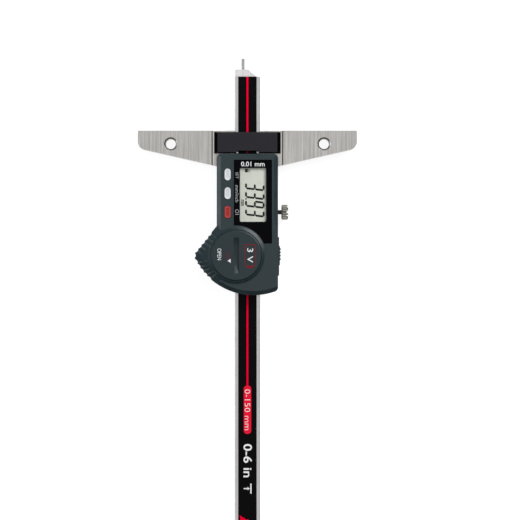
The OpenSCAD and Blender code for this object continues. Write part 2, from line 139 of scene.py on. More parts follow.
def ground_metal(name, colour, roughness, across="x", streak=0.1, step=None):
    """Metal ground in one direction: fine lines, broader streaks, and slow changes of tone.

    across is the axis the lines lie across. With "x", faces that look along y are ground along x instead.
    step is (height along y in mm, factor): past that height the colour is multiplied by the factor.
    """
    made, tree, shader = new_material(name)
    fine, wide, through, slow = 6.0, 1.1, 0.5, 0.05
    if across == "x":
        hair_scale = ground_scale(tree, (fine, slow, fine), (slow, fine, fine))
        band_scale = ground_scale(tree, (wide, slow / 2, through), (slow / 2, wide, wide))
    else:
        hair_scale = (slow, fine, fine)
        band_scale = (slow / 2, wide, through)
    hairs = noise(tree, hair_scale, detail=3.0, roughness=0.65)
    streaks = noise(tree, band_scale, detail=3.0, roughness=0.65)
    patches = noise(tree, (0.08, 0.08, 0.08))
    tone = multiply(tree, about_one(tree, hairs, streak), about_one(tree, streaks, streak))
    tone = multiply(tree, tone, about_one(tree, patches, 0.04))
    if step:
        at, factor, blend = step[0] * MM, step[1], 0.4 * MM
        height = add(tree, "ShaderNodeSeparateXYZ", {"Vector": object_place(tree)}).outputs["Y"]
        tone = multiply(tree, tone, remap(tree, height, 1.0, factor, at - blend, at + blend))
    connect(tree, shade(tree, colour, tone), shader, "Base Color")
    connect(tree, remap(tree, hairs, roughness - 0.06, roughness + 0.08), shader, "Roughness")
    shader.inputs["Metallic"].default_value = 1.0
    bump(tree, shader, hairs, 0.05, 0.02 * MM)
    return made


def moulded_plastic(name, colour, roughness, specular, grain=0.35):
    """Plastic with a fine moulded grain and slightly uneven gloss."""
    made, tree, shader = new_material(name)
    mottle = 0.06
    fine = noise(tree, (4.5, 4.5, 4.5), detail=3.0, roughness=0.7)
    broad = noise(tree, (0.15, 0.15, 0.15), detail=3.0)
    tone = multiply(tree, about_one(tree, fine, mottle), about_one(tree, broad, mottle))
    connect(tree, shade(tree, colour, tone), shader, "Base Color")
    connect(tree, remap(tree, broad, roughness - 0.05, roughness + 0.06), shader, "Roughness")
    shader.inputs["Specular IOR Level"].default_value = specular
    bump(tree, shader, fine, grain, 0.03 * MM)
    return made


def smooth_plastic(name, colour, roughness, specular):
    """Plastic or print with a smooth skin, and faint changes of tone and gloss."""
    made, tree, shader = new_material(name)
    broad = noise(tree, (0.4, 0.4, 0.4), detail=4.0)
    connect(tree, shade(tree, colour, about_one(tree, broad, 0.04)), shader, "Base Color")
    connect(tree, remap(tree, broad, roughness - 0.03, roughness + 0.05), shader, "Roughness")
    shader.inputs["Specular IOR Level"].default_value = specular
    return made


def clear_glass(name):
    """A thin pane: what is behind it shows, and it reflects at a slant."""
    made, tree, shader = new_material(name)
    white, reflected = (1, 1, 1, 1), 0.25
    smudge = noise(tree, (0.1, 0.1, 0.1), detail=3.0)
    gloss = add(tree, "ShaderNodeBsdfGlossy", {"Color": white, "Roughness": remap(tree, smudge, 0.03, 0.1)})
    through = add(tree, "ShaderNodeBsdfTransparent", {"Color": white})
    slant = add(tree, "ShaderNodeLayerWeight", {"Blend": 0.2}).outputs["Fresnel"]
    mixed = add(tree, "ShaderNodeMixShader", {
        "Fac": multiply(tree, slant, reflected), 1: through.outputs[0], 2: gloss.outputs[0]})
    tree.nodes.remove(shader)
    tree.links.new(mixed.outputs[0], tree.nodes["Material Output"].inputs["Surface"])
    return made


def circuit_mask(name):
    """Green solder mask with paler tracks under it."""
    made, tree, shader = new_material(name)
    cells = add(tree, "ShaderNodeTexVoronoi", {"Vector": in_cycles(tree, (0.55, 0.55, 0.55)), "Scale": 1.0},
                feature="DISTANCE_TO_EDGE", distance="CHEBYCHEV")
    track = remap(tree, cells.outputs["Distance"], 1.7, 1.0, 0.04, 0.09)
    connect(tree, shade(tree, (0.012, 0.11, 0.04), track), shader, "Base Color")
    shader.inputs["Roughness"].default_value = 0.35
    bump(tree, shader, track, 0.3, 0.02 * MM)
    return made


def striped_rubber(name):
    """Contact rubber: thin dark stripes in a pink bar."""
    made, tree, shader = new_material(name)
    stripes = add(tree, "ShaderNodeTexWave", {"Vector": in_cycles(tree, (0.9, 0.9, 0.9)), "Scale": 1.0},
                  wave_type="BANDS", bands_direction="Y")
    tone = remap(tree, stripes.outputs["Fac"], 0.1, 1.0)
    connect(tree, shade(tree, (0.5, 0.16, 0.2), tone), shader, "Base Color")
    shader.inputs["Roughness"].default_value = 0.6
    return made


BRIDGE_STEEL = ground_metal("bridge_steel", (0.47, 0.455, 0.435), 0.26, across="x", streak=0.22)
BEAM_STEEL = ground_metal("beam_steel", (0.52, 0.50, 0.51), 0.24, across="x", streak=0.08, step=(25.1, 1.45))
SLIDER_STEEL = ground_metal("slider_steel", (0.44, 0.44, 0.45), 0.34, across="x", streak=0.12)
PIN_STEEL = ground_metal("pin_steel", (0.45, 0.445, 0.44), 0.28, across="y", streak=0.12)
SCREW_STEEL = ground_metal("screw_steel", (0.42, 0.42, 0.43), 0.3, across="y", streak=0.1)
KNOB_NICKEL = ground_metal("knob_nickel", (0.34, 0.335, 0.31), 0.20, across="y", streak=0.08)
# Dark steel for the lock screw's neck; in the bridge's grooves it is painted shade.
DARK_STEEL_AND_SHADE = ground_metal("dark_steel_and_painted_shade", (0.045, 0.042, 0.038), 0.30, across="y", streak=0.1)
BATTERY_STEEL = ground_metal("battery_steel", (0.55, 0.55, 0.57), 0.2, across="x", streak=0.05)
BRONZE = ground_metal("bronze", (0.55, 0.31, 0.10), 0.3, across="x")
BRASS = ground_metal("brass", (0.62, 0.42, 0.13), 0.28, across="y")
HOUSING_PLASTIC = moulded_plastic("housing_plastic", (0.010, 0.0245, 0.0295), 0.36, specular=0.43)
COVER_PLASTIC = moulded_plastic("cover_plastic", (0.009, 0.023, 0.028), 0.38, specular=0.38)
# A paler plastic for the coin slot's faces: painted light in the slot.
SLOT_PAINTED_LIGHT = moulded_plastic("slot_painted_light", (0.011, 0.028, 0.033), 0.40, specular=0.42, grain=0.15)
BLACK_COVER = moulded_plastic("black_cover", (0.008, 0.0075, 0.0125), 0.4, specular=0.28, grain=0.15)
# Near-black painted shade, for the bridge cover's bevelled ends and the strips across the notch.
PAINTED_SHADE_BLACK = moulded_plastic("painted_shade_black", (0.0008, 0.0008, 0.001), 0.6, specular=0.02, grain=0.15)
# Black rubber for the wipers and the seal; under the buttons' caps it is painted shade.
RUBBER_AND_SHADE = moulded_plastic("black_rubber", (0.012, 0.012, 0.012), 0.7, specular=0.2)
CHIP_PLASTIC = moulded_plastic("chip_plastic", (0.012, 0.012, 0.013), 0.55, specular=0.35)
BLACK_GLASS = smooth_plastic("black_glass", (0.0015, 0.0016, 0.0025), roughness=0.08, specular=0.03)
CLEAR_GLASS = clear_glass("clear_glass")
LCD_GLASS = smooth_plastic("lcd_glass", (0.71, 0.725, 0.64), roughness=0.5, specular=0.1)
LCD_INK = smooth_plastic("lcd_ink", (0.012, 0.018, 0.016), roughness=0.5, specular=0.1)
WHITE_BUTTON = smooth_plastic("white_button", (0.80, 0.81, 0.84), roughness=0.4, specular=0.4)
# WHITE_DISH_SHADE is a little darker than WHITE_BUTTON: painted shade in the dish.
WHITE_DISH_SHADE = smooth_plastic("white_dish_painted_shade", (0.72, 0.72, 0.76), roughness=0.55, specular=0.3)
RED_BUTTON = smooth_plastic("red_button", (0.44, 0.030, 0.030), roughness=0.25, specular=0.5)
# RED_DISH_SHADE is a little darker than RED_BUTTON: painted shade in the dish.
RED_DISH_SHADE = smooth_plastic("red_dish_painted_shade", (0.40, 0.022, 0.014), roughness=0.5, specular=0.3)
BLACK_STRIP = smooth_plastic("black_strip", (0.0035, 0.003, 0.0035), roughness=0.2, specular=0.03)
RED_INK = smooth_plastic("red_ink", (1.0, 0.0, 0.032), roughness=0.5, specular=0.0)
PILL_RED = smooth_plastic("pill_red", (0.90, 0.006, 0.036), roughness=0.4, specular=0.08)
DULL_RED = smooth_plastic("dull_red", (0.20, 0.012, 0.02), roughness=0.5, specular=0.1)
WHITE_INK = smooth_plastic("white_ink", (0.93, 0.93, 0.93), roughness=0.5, specular=0.1)
GREY_INK = smooth_plastic("grey_ink", (0.42, 0.43, 0.44), roughness=0.5, specular=0.1)
BOARD_GREEN = circuit_mask("board_green")
STRIPED_RUBBER = striped_rubber("striped_rubber")


# ---------- meshes: helpers ----------

def link(name, mesh):
    made = bpy.data.objects.new(name, mesh)
    bpy.context.scene.collection.objects.link(made)
    return made


def from_bmesh(name, mesh_data):
    """Turns a bmesh into an object and frees it."""
    bmesh.ops.recalc_face_normals(mesh_data, faces=mesh_data.faces)
    mesh = bpy.data.meshes.new(name)
    mesh_data.to_mesh(mesh)
    mesh_data.free()
    return link(name, mesh)


def apply_modifiers(piece):
    """Replaces the piece's mesh with what its modifiers make of it."""
    bpy.context.view_layer.update()
    graph = bpy.context.evaluated_depsgraph_get()
    mesh = bpy.data.meshes.new_from_object(piece.evaluated_get(graph))
    piece.modifiers.clear()
    piece.data = mesh


def paint(piece, *materials):
    piece.data.materials.clear()
    for material in materials:
        piece.data.materials.append(material)


def triangulate(piece):
    shape = bmesh.new()
    shape.from_mesh(piece.data)
    bmesh.ops.triangulate(shape, faces=shape.faces)
    shape.to_mesh(piece.data)
    shape.free()


def drop_slivers(piece):
    """Takes away faces without area, and edges too short to see."""
    shape = bmesh.new()
    shape.from_mesh(piece.data)
    bmesh.ops.dissolve_degenerate(shape, dist=0.0008 * MM, edges=shape.edges)
    shape.to_mesh(piece.data)
    shape.free()


def finish_piece(piece, material, body, sharp=32):
    """Smooth shading that keeps large faces flat, then material and body."""
    drop_slivers(piece)
    piece.data.shade_smooth()
    piece.data.set_sharp_from_angle(angle=math.radians(sharp))
    weighted = piece.modifiers.new("shading", "WEIGHTED_NORMAL")
    weighted.keep_sharp = True
    apply_modifiers(piece)
    paint(piece, material)
    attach(piece, body)
    return piece


def round_edges(piece, width, segments=3):
    """Rounds off every edge that turns by more than 30 degrees."""
    bevel = piece.modifiers.new("edges", "BEVEL")
    bevel.width = width
    bevel.segments = segments
    bevel.limit_method = "ANGLE"
    bevel.angle_limit = math.radians(30)
    bevel.miter_outer = "MITER_ARC"
    bevel.use_clamp_overlap = True
    apply_modifiers(piece)


def chamfer(piece, width, chosen):
    """Cuts a flat chamfer along the edges for which chosen(edge) is true."""
    shape = bmesh.new()
    shape.from_mesh(piece.data)
    bmesh.ops.bevel(shape, geom=[e for e in shape.edges if chosen(e)], offset=width, offset_type="OFFSET",
                    segments=1, affect="EDGES", clamp_overlap=True)
    shape.to_mesh(piece.data)
    shape.free()


def cut(piece, *tools):
    """Takes the tools' shapes away from the piece, and deletes the tools."""
    for tool in tools:
        boolean = piece.modifiers.new("cut", "BOOLEAN")
        boolean.operation = "DIFFERENCE"
        boolean.solver = "EXACT"
        boolean.object = tool
    apply_modifiers(piece)
    for tool in tools:
        bpy.data.objects.remove(tool)


def solid_copy(node, name):
    """A clean copy of a CAD node's mesh: one vertex per corner, and one face per flat stretch."""
    shape = bmesh.new()
    shape.from_mesh(NODES[node].data)
    bmesh.ops.remove_doubles(shape, verts=shape.verts, dist=0.002 * MM)
    bmesh.ops.dissolve_limit(shape, angle_limit=math.radians(0.4), verts=shape.verts, edges=shape.edges)
    return from_bmesh(name, shape)


def detailed(node, material, body, width, segments=3, tools=(), late_tools=(), chamfers=None):
    """Replaces a CAD node with a copy whose edges are rounded off.

    tools are cut out of it before that, and late_tools after it. chamfers is (width, chosen edges).
    """
    piece = solid_copy(node, node + "_finished")
    if tools:
        cut(piece, *tools)
    if chamfers:
        chamfer(piece, *chamfers)
    round_edges(piece, width, segments)
    if late_tools:
        triangulate(piece)
        cut(piece, *late_tools)
    finish_piece(piece, material, body)
    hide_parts(node)
    return piece


def prism(name, outline, bottom, top):
    """A closed solid between two heights, over an outline of (x, y) points."""
    shape = bmesh.new()
    face = shape.faces.new([shape.verts.new((x, y, bottom)) for x, y in outline])
    raised = bmesh.ops.extrude_face_region(shape, geom=[face])["geom"]
    bmesh.ops.translate(shape, vec=(0, 0, top - bottom),
                        verts=[v for v in raised if isinstance(v, bmesh.types.BMVert)])
    return from_bmesh(name, shape)


def join(name, pieces):
    """One object from several."""
    shape = bmesh.new()
    for piece in pieces:
        shape.from_mesh(piece.data)
    for piece in pieces:
        bpy.data.objects.remove(piece)
    return from_bmesh(name, shape)


def rounded_rectangle(low, high, radius, steps=8):
    """Points of a rectangle with round corners."""
    points = []
    centres = [(high[0] - radius, high[1] - radius), (low[0] + radius, high[1] - radius),
               (low[0] + radius, low[1] + radius), (high[0] - radius, low[1] + radius)]
    for quarter, (x, y) in enumerate(centres):
        for step in range(steps + 1):
            angle = math.pi / 2 * (quarter + step / steps)
            points.append((x + radius * math.cos(angle), y + radius * math.sin(angle)))
    return points


def box_solid(name, low, high):
    return prism(name, [(low[0], low[1]), (high[0], low[1]), (high[0], high[1]), (low[0], high[1])],
                 low[2], high[2])


def lathe(name, profile, steps, centre, turned=Matrix.Identity(4), radius_of=None):
    """Turns a profile of (radius, height) round the z axis into a solid, then turns and moves it.

    radius_of(radius, angle) may change the radius round the circumference.
    """
    shape = bmesh.new()
    rings = []
    for radius, height in profile:
        if radius == 0:
            rings.append([shape.verts.new((0, 0, height))])
            continue
        ring = []
        for step in range(steps):
            angle = 2 * math.pi * step / steps
            r = radius_of(radius, angle) if radius_of else radius
            ring.append(shape.verts.new((r * math.cos(angle), r * math.sin(angle), height)))
        rings.append(ring)
    for lower, upper in zip(rings, rings[1:]):
        for step in range(steps):
            after = (step + 1) % steps
            corners = [lower[step % len(lower)], lower[after % len(lower)],
                       upper[after % len(upper)], upper[step % len(upper)]]
            shape.faces.new(list(dict.fromkeys(corners)))
    bmesh.ops.transform(shape, matrix=Matrix.Translation(centre) @ turned, verts=shape.verts)
    return from_bmesh(name, shape)


def arc(centre, radius, start, end, steps):
    """Points of an arc, from one angle to another in degrees."""
    angles = [math.radians(start + (end - start) * i / steps) for i in range(steps + 1)]
    return [(centre[0] + radius * math.cos(a), centre[1] + radius * math.sin(a)) for a in angles]


# ---------- print: letters and signs ----------

PRINT_DEPTH = 0.02 * MM
CLOCKWISE = Matrix.Rotation(-math.pi / 2, 4, "Z")


def lettering(name, words, centre, size, ink, body, turned=CLOCKWISE, weight=0.0):
    """Thin printed letters. centre is the middle of their underside, and size their length and height."""
    curve = bpy.data.curves.new(name, "FONT")
    curve.body = words
    curve.resolution_u = 3
    curve.extrude = 0.5
    curve.offset = weight
    source = bpy.data.objects.new(name, curve)
    bpy.context.scene.collection.objects.link(source)
    bpy.context.view_layer.update()
    graph = bpy.context.evaluated_depsgraph_get()
    mesh = bpy.data.meshes.new_from_object(source.evaluated_get(graph))
    bpy.data.objects.remove(source)
    shape = bmesh.new()
    shape.from_mesh(mesh)
    bmesh.ops.remove_doubles(shape, verts=shape.verts, dist=1e-5)
    low = [min(v.co[i] for v in shape.verts) for i in range(3)]
    high = [max(v.co[i] for v in shape.verts) for i in range(3)]
    middle = Vector([(a + b) / 2 for a, b in zip(low, high)])
    scale = Matrix.Diagonal((size[0] / (high[0] - low[0]), size[1] / (high[1] - low[1]),
                             PRINT_DEPTH / (high[2] - low[2]), 1))
    place = Matrix.Translation(Vector(centre) + Vector((0, 0, PRINT_DEPTH / 2)))
    bmesh.ops.transform(shape, matrix=place @ turned @ scale @ Matrix.Translation(-middle), verts=shape.verts)
    return finish_piece(from_bmesh(name, shape), ink, body)


def printed(name, outlines, height, ink, body):
    """Thin printed shapes on a surface at the given height."""
    parts = [prism("part", outline, height, height + PRINT_DEPTH) for outline in outlines]
    return finish_piece(join(name, parts), ink, body)


def stroke(start, end, width):
    """Outline of a straight line with square ends."""
    along = (Vector(end) - Vector(start)).normalized() * (width / 2)
    side = Vector((-along.y, along.x))
    a, b = Vector(start), Vector(end)
    return [tuple(a + side), tuple(b + side), tuple(b - side), tuple(a - side)]


def ring_outline(centre, radius, width, start, end, steps):
    """Outline of a stretch of a ring, from one angle to another in degrees."""
    outer = arc(centre, radius + width / 2, start, end, steps)
    inner = arc(centre, radius - width / 2, end, start, steps)
    return outer + inner


# ---------- bridge, slider and beam ----------

def second_material(piece, material, chosen):
    """Gives the faces for which chosen(face) is true a second material."""
    piece.data.materials.append(material)
    for face in piece.data.polygons:
        if chosen(face):
            face.material_index = len(piece.data.materials) - 1


def make_bridge():
    """A thin groove is cut along the foot of each step beside the cover, and its faces are painted near-black
    as painted shade.
    """
    front, seat_half, seat = 8 * MM, 16.35 * MM, 7.2 * MM
    width, depth, near = 0.45 * MM, 0.5 * MM, 0.02 * MM
    start, end = -20 * MM, MM
    grooves = []
    for side in (-1, 1):
        inner, outer = sorted((side * (seat_half - width), side * seat_half))
        grooves.append(box_solid("groove", (inner, start, seat - depth), (outer, end, front)))
    bridge = detailed("bridge", BRIDGE_STEEL, "head", 0.12 * MM, tools=grooves)
    # The groove's faces are painted near-black: painted shade in the groove.
    second_material(bridge, DARK_STEEL_AND_SHADE, lambda face: (
        seat - depth - 5 * near < face.center.z < seat - near
        and seat_half - width - near < abs(face.center.x) < seat_half + near))


def make_bridge_cover():
    """The bevelled ends are painted near-black, unlike the front: painted shade on the cover's sides."""
    bevel = 1.55 * MM
    cover = detailed("bridge_cover", BLACK_COVER, "head", 0.08 * MM)
    bevel_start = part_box("bridge_cover")[1].x - bevel
    # Painted shade: the bevelled ends get the near-black material.
    second_material(cover, PAINTED_SHADE_BLACK, lambda face: abs(face.center.x) > bevel_start)


def make_notch_shade_strips():
    """Two near-black strips across the notch, just above the beam, that leave a narrow slit: painted shadow
    over the notch.
    """
    half, bottom, top = 5.2 * MM, 7.3 * MM, 7.9 * MM
    slit_low, slit_high = -10.4 * MM, -9.5 * MM
    lower_width, upper_width = 0.35 * MM, 0.25 * MM
    shade_strips = [box_solid("shade_strip", (-half, slit_high, bottom), (half, slit_high + upper_width, top)),
            box_solid("shade_strip", (-half, slit_low - lower_width, bottom), (half, slit_low, top))]
    piece = join("notch_shade_strips", shade_strips)
    round_edges(piece, 0.08 * MM, 2)
    finish_piece(piece, PAINTED_SHADE_BLACK, "head")


def make_slider():
    """The steel channel, and the screws that hold the head together."""
    detailed("slider_frame", SLIDER_STEEL, "head", 0.10 * MM)
    for node in ("bridge_screws", "housing_screws", "gib_screws"):
        detailed(node, SCREW_STEEL, "head", 0.05 * MM, segments=2)


def make_beam():
    """The beam and the pieces on it. Its long front edges have a narrow chamfer."""
    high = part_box("beam")[1]
    near = 0.05 * MM

    def long_front_edge(edge):
        return all(v.co.z > high.z - near and abs(abs(v.co.x) - high.x) < near for v in edge.verts)

    detailed("beam", BEAM_STEEL, "beam", 0.06 * MM, chamfers=(0.32 * MM, long_front_edge))
    detailed("scale_strip", BLACK_STRIP, "beam", 0.03 * MM, segments=2)
    detailed("measuring_pin", PIN_STEEL, "beam", 0.04 * MM, segments=2)
    detailed("end_stop", SLIDER_STEEL, "beam", 0.08 * MM)
    detailed("end_stop_screws", SCREW_STEEL, "beam", 0.04 * MM, segments=2)


def make_beam_print():
    """Red line, red label and white marks on the strip."""
    low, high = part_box("scale_strip")
    surface = high.z
    pill_low, pill_high = (-1.7 * MM, -138.7 * MM), (1.75 * MM, -116.55 * MM)
    pill_lift, label_lift = 0.004 * MM, 0.012 * MM
    printed("red_line", line_outlines(low, high, pill_high[1] - 0.3 * MM), surface, RED_INK,
            "beam")
    pill = rounded_rectangle(pill_low, pill_high, 1.6 * MM)
    printed("red_label", [pill], surface + pill_lift, PILL_RED, "beam")
    label_middle = (0, (pill_low[1] + pill_high[1]) / 2, surface + label_lift)
    lettering("range_mm", "0-150 mm", label_middle, (18.6 * MM, 2.5 * MM), WHITE_INK,
              "beam", weight=-0.012)
    range_middle = (0.15 * MM, -150.9 * MM, surface)
    lettering("range_in", "0-6 in", range_middle, (15.3 * MM, 4.0 * MM), WHITE_INK,
              "beam", weight=0.015)
    printed("depth_sign", depth_sign_outlines(-161.4 * MM), surface, WHITE_INK, "beam")


def line_outlines(low, high, label_end):
    """The red line above the label's end, and below it down to a slanted stripe that closes it off."""
    half_line = 0.42 * MM
    stripe_top, stripe_height, stripe_width = -172.6 * MM, 5.0 * MM, 2.9 * MM
    edge, stripe_end = low.x + 0.1 * MM, stripe_top - stripe_height
    above = [(-half_line, label_end), (half_line, label_end), (half_line, high.y), (-half_line, high.y)]
    below = [(-half_line, low.y), (half_line, low.y), (half_line, stripe_end),
             (-half_line, stripe_end - half_line), (edge, stripe_top - stripe_width), (edge, stripe_top)]
    return [above, below]


def depth_sign_outlines(top):
    """An arrow that points at a bar: the sign of a depth."""
    length, line, head = 4.6 * MM, 0.55 * MM, 1.5 * MM
    bar_x, tail_x, head_x, tip_x = 1.6 * MM, -1.7 * MM, 0, 1.25 * MM
    middle = top - length / 2
    return [
        stroke((bar_x, top), (bar_x, top - length), line),
        stroke((tail_x, middle), (head_x + 0.2 * MM, middle), line),
        [(head_x, middle - head / 2), (tip_x, middle), (head_x, middle + head / 2)],
    ]


# ---------- display unit ----------

CAP_CENTRE = Vector((-5.0, -57.0)) * MM
FOOT_CENTRE, FOOT_RADIUS = Vector((2.8, -45.4)) * MM, 29.7 * MM
FIN_ROOT = Vector((-13.7, -43.35)) * MM
FIN_TIP = Vector((-23.95, -55.9)) * MM
LCD_LOW = Vector((-3.37, -41.75)) * MM
LCD_HIGH = Vector((8.5, -17.3)) * MM


def fin_height(place):
    """Height of the fin's slope, which falls away from the battery cover's collar."""
    top, collar_foot, slope = 13.8 * MM, 13.2 * MM, 0.36
    return top - slope * ((place - CAP_CENTRE).length - collar_foot)


def rib_gap(place, inward):
    """A round groove over the fin, deepest at the edge and run out a few millimetres further in."""
    radius, depth, length, clear = 0.85 * MM, 0.45 * MM, 4.6 * MM, 0.03 * MM
    inner = place + inward * length
    start = Vector((place.x, place.y, fin_height(place) + radius - depth))
    end = Vector((inner.x, inner.y, fin_height(inner) + radius + clear))
    along = end - start
    rod = [(0, 0), (radius, 0), (radius, along.length), (0, along.length)]
    return lathe("rib_gap", rod, 24, start, along.to_track_quat("Z", "Y").to_matrix().to_4x4())


def rib_gaps():
    """One groove behind each scallop of the fin's two edges, the straight one and the curved one."""
    gaps, pitch, beyond = 5, 2.4 * MM, 1.25 * MM
    first_step, first_angle = 0.6, math.radians(204.3)
    along = (FIN_ROOT - FIN_TIP).normalized()
    out = Vector((-along.y, along.x))
    tools = []
    for i in range(gaps):
        tools.append(rib_gap(FIN_TIP + along * (i + first_step) * pitch + out * beyond, -out))
        angle = first_angle + (i + 1) * pitch / FOOT_RADIUS
        place = FOOT_CENTRE + Vector((math.cos(angle), math.sin(angle))) * (FOOT_RADIUS + beyond)
        tools.append(rib_gap(place, (CAP_CENTRE - place).normalized()))
    return tools


def make_housing():
    """The lower shell, and the front shell with its ribbed fin."""
    detailed("housing_base", HOUSING_PLASTIC, "head", 0.15 * MM, segments=2)
    detailed("housing_front", HOUSING_PLASTIC, "head", 0.25 * MM, late_tools=rib_gaps())


def make_window():
    """Black glass with a clear pane let into it over the display."""
    low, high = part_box("display_window")
    corner, gap, pane_depth, recess = 0.5 * MM, 0.02 * MM, 0.6 * MM, 0.03 * MM
    opening = prism("opening", rounded_rectangle(LCD_LOW, LCD_HIGH, corner), low.z - MM, high.z + MM)
    mask = detailed("display_window", BLACK_GLASS, "head", 0.08 * MM, tools=[opening])
    mask.name = "window_mask"
    pane_low, pane_high = LCD_LOW + Vector((gap, gap)), LCD_HIGH - Vector((gap, gap))
    pane = prism("window_pane", rounded_rectangle(pane_low, pane_high, corner - gap),
                 high.z - pane_depth, high.z - recess)
    finish_piece(pane, CLEAR_GLASS, "head")


SEGMENTS = {
    "a": ((0, 2), (1, 2)), "b": ((1, 2), (1, 1)), "c": ((1, 1), (1, 0)), "d": ((0, 0), (1, 0)),
    "e": ((0, 0), (0, 1)), "f": ((0, 1), (0, 2)), "g": ((0, 1), (1, 1)),
}
LIT = {"3": "abcdg", "9": "abcdfg"}


def segment_outline(start, end, width, gap):
    """A bar with pointed ends, a little short of both ends."""
    a, b = Vector(start), Vector(end)
    along = (b - a).normalized()
    side = Vector((-along.y, along.x)) * (width / 2)
    a, b = a + along * gap, b - along * gap
    point = along * (width / 2)
    return [a, a + point + side, b - point + side, b, b - point - side, a + point - side]


def make_digits():
    """The reading, in seven segments that lean over, read from the pin end down."""
    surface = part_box("lcd_panel")[1].z
    base_x, first_y = -0.6 * MM, -24.12 * MM
    size = Vector((2.35, 4.0)) * MM
    pitch, lean, width, gap = 3.97 * MM, 0.12, 0.92 * MM, 0.04 * MM
    outlines = []
    for place, digit in enumerate("3393"):
        for segment in LIT[digit]:
            start, end = [Vector((c[0] * size.x, c[1] * size.y)) for c in SEGMENTS[segment]]
            points = segment_outline(start, end, width, gap)
            outlines.append([(base_x + p.y, first_y - place * pitch - p.x - p.y * lean) for p in points])
    point_y, below, above = first_y - 2 * pitch + 0.75 * MM, 0.35 * MM, 0.3 * MM
    point_low, point_high = (base_x - below, point_y - below), (base_x + above, point_y + above)
    outlines.append(rounded_rectangle(point_low, point_high, 0.1 * MM))
    printed("display_digits", outlines, surface, LCD_INK, "head")
    lettering("display_unit", "mm", (-2.25 * MM, -33.1 * MM, surface), (2.8 * MM, 1.3 * MM), LCD_INK,
              "head", weight=0.03)
    make_battery_sign(surface)


def make_battery_sign(surface):
    """A full battery at the top of the display: its body and two thinner bars."""
    middle = -18.45 * MM
    bars = []
    for start, end, half, corner in ((-1.1, 0.25, 0.8, 0.15), (0.48, 0.7, 0.8, 0.1), (0.98, 1.2, 0.65, 0.1)):
        low, high = (start * MM, middle - half * MM), (end * MM, middle + half * MM)
        bars.append(rounded_rectangle(low, high, corner * MM))
    printed("display_battery", bars, surface, LCD_INK, "head")


def make_panel_print():
    """Words and signs on the black glass: a heading, and a label beside each button."""
    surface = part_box("display_window")[1].z
    upright = Matrix.Identity(4)
    lettering("panel_heading", "0.01 mm", (2.5 * MM, -15.5 * MM, surface), (10.7 * MM, 2.2 * MM), WHITE_INK,
              "head", turned=upright, weight=0.01)
    label_x, set_y, units_y, power_y = -4.67 * MM, -20.7 * MM, -29.0 * MM, -37.0 * MM
    lettering("panel_set", "SET", (label_x, set_y, surface), (2.9 * MM, 1.25 * MM), GREY_INK,
              "head")
    lettering("panel_units", "mm/inch", (label_x, units_y, surface), (7.6 * MM, 1.6 * MM), GREY_INK,
              "head")
    radius, line, bar_half, bar_y = 0.75 * MM, 0.22 * MM, 0.8 * MM, power_y - 1.4 * MM
    power = [ring_outline((label_x, power_y), radius, line, 0, 359.9, 36),
             stroke((label_x - bar_half, bar_y), (label_x + bar_half, bar_y), line)]
    printed("panel_power", power, surface, GREY_INK, "head")


def make_buttons():
    """Each button has a rounded rim round a shallow matt dish, painted a little darker as painted shade;
    below its cap it is painted black rubber as painted shade in the gap round it.
    """
    inset, dish, flange, cap = 0.7 * MM, 0.25 * MM, 0.5 * MM, 1.2 * MM
    for node, rim, middle, slot in (("preset_button", WHITE_BUTTON, WHITE_DISH_SHADE, "button_white"),
                                    ("unit_button", WHITE_BUTTON, WHITE_DISH_SHADE, "button_white"),
                                    ("power_button", RED_BUTTON, RED_DISH_SHADE, "button_red")):
        low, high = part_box(node)
        corner = Vector((inset + flange, inset + flange))
        dish_low, dish_high = low.xy + corner, high.xy - corner
        radius = (dish_high.x - dish_low.x) / 2 - 0.001 * MM
        tool = prism("dish", rounded_rectangle(dish_low, dish_high, radius), high.z - dish, high.z + MM)
        button = detailed(node, rim, node, 0.2 * MM, segments=3, tools=[tool])
        # The dish's faces are painted darker: painted shade in the hollow.
        second_material(button, middle, lambda face: (
            high.z - dish * 1.1 < face.center.z < high.z - dish * 0.8
            and dish_low.x < face.center.x < dish_high.x and dish_low.y < face.center.y < dish_high.y))
        # Below the cap the button is painted black: painted shade in the gap round it.
        second_material(button, RUBBER_AND_SHADE, lambda face: face.center.z < high.z - cap)


def make_battery_cover():
    """Cover with a slot whose floor is an arc, as a coin cuts it. The slot's faces are a paler plastic:
    painted light in the slot.
    """
    low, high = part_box("battery_cover")
    centre = Vector(((low.x + high.x) / 2, (low.y + high.y) / 2, 0))
    profile = [(r * MM, z * MM) for r, z in (
        (0, 12.2), (10.15, 12.2), (10.15, 11.25), (10.2, 11.2), (10.8, 11.2), (10.85, 11.25),
        (10.85, 12.9), (11.6, 12.9), (11.65, 12.95), (11.65, 14.35), (11.58, 14.48),
        (11.3, 14.68), (11.05, 14.77), (10.75, 14.8), (0, 14.8))]
    cover = lathe("battery_cover_disc", profile, 128, centre)
    slot_length, slot_width, slot_depth = 16.4 * MM, 2.4 * MM, 1.9 * MM
    below_floor, rim = high.z - slot_depth - 0.3 * MM, high.z - 0.13 * MM
    radius = (slot_length ** 2 / 4 + slot_depth ** 2) / (2 * slot_depth)
    disc = [(0, -slot_width / 2), (radius, -slot_width / 2), (radius, slot_width / 2), (0, slot_width / 2)]
    tool = lathe("coin", disc, 256, centre + Vector((0, 0, high.z - slot_depth + radius)),
                 Matrix.Rotation(math.pi / 2, 4, "Y"))
    cut(cover, tool, slot_end_tool(centre, high.z, slot_length))
    round_edges(cover, 0.12 * MM, 2)
    finish_piece(cover, COVER_PLASTIC, "battery_cover")
    # Painted light: the slot's faces get the paler plastic.
    second_material(cover, SLOT_PAINTED_LIGHT, lambda face: (
        below_floor < face.center.z < rim and abs(face.center.x - centre.x) < slot_width / 2
        and abs(face.center.y - centre.y) < slot_length / 2))
    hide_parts("battery_cover")
    make_cover_print(centre, high.z)


